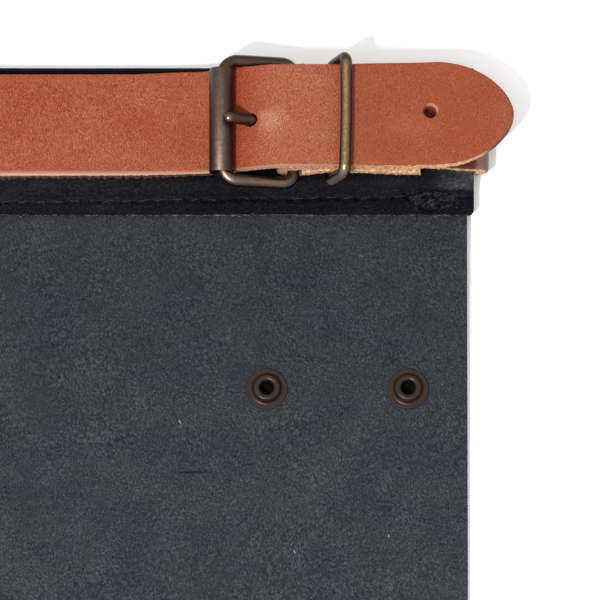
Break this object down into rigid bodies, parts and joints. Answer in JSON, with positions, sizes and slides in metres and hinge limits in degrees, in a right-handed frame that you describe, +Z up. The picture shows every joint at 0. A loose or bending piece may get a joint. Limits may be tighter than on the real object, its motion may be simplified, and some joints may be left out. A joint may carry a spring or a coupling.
{
  "type": "leather waist apron",
  "caption": "Suede waist apron with a smooth leather waistband, and a strap belt that runs through the band and fastens with a roller buckle and wire keeper on its front.",
  "frame": {"origin": "middle of the lying apron's box, on the ground", "axes": "+X along the waistband to the wearer's right in the picture's view, +Y from hem to waistband, +Z up from the ground through the outer side"},
  "size_m": [0.5198, 0.451, 0.0232],
  "materials": {
    "charcoal_suede": "napped suede, matt",
    "black_leather": "smooth, low sheen",
    "tan_leather": "fine pebble grain, raw pale edges",
    "buckle_metal": "dark antiqued, satin",
    "roller_metal": "dark antiqued, satin",
    "prong_metal": "dark antiqued, satin",
    "keeper_brass": "antiqued brass, satin",
    "stud_metal": "dark copper brown, satin"
  },
  "bodies": {
    "root": {"suede_panel": "charcoal_suede", "waistband": "black_leather", "belt": "tan_leather", "buckle_frame": "buckle_metal", "roller": "roller_metal", "prong": "prong_metal", "keeper_loop": "keeper_brass", "snap_stud_inner": "stud_metal", "snap_stud_outer": "stud_metal"}
  },
  "joints": []
}
